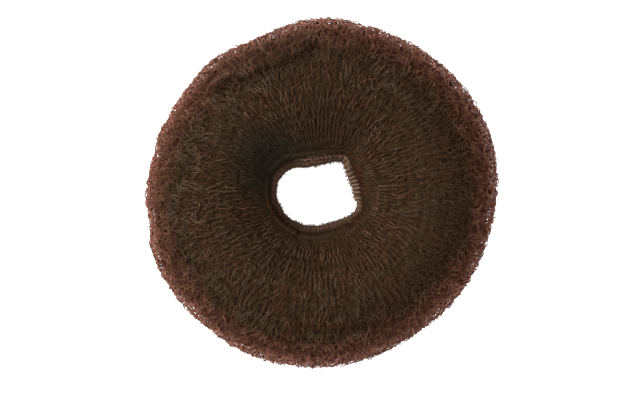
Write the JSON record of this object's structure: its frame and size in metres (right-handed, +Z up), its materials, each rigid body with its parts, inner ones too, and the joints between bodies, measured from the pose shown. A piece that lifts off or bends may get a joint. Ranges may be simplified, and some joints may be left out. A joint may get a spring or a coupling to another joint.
{
  "type": "rolled mesh hair donut for making a bun",
  "caption": "Soft ring of rolled-up knitted nylon net with a middle hole for a ponytail; hair is wrapped round it to make a bun.",
  "frame": {"origin": "middle of the ring's outline, on the surface that it lies on", "axes": "+Z up, through the middle hole; +X to the right and +Y to the top of the picture, which looks straight down"},
  "size_m": [0.0894, 0.089, 0.0339],
  "materials": {
    "net": "open knit of bare brown nylon thread, glossy in strands",
    "roll": "dense roll of the same net, dark between its strands",
    "hem": "net gathered tight and stitched"
  },
  "bodies": {
    "root": {"net_cover": "net", "rolled_core": "roll", "gathered_hem": "hem"}
  },
  "joints": []
}
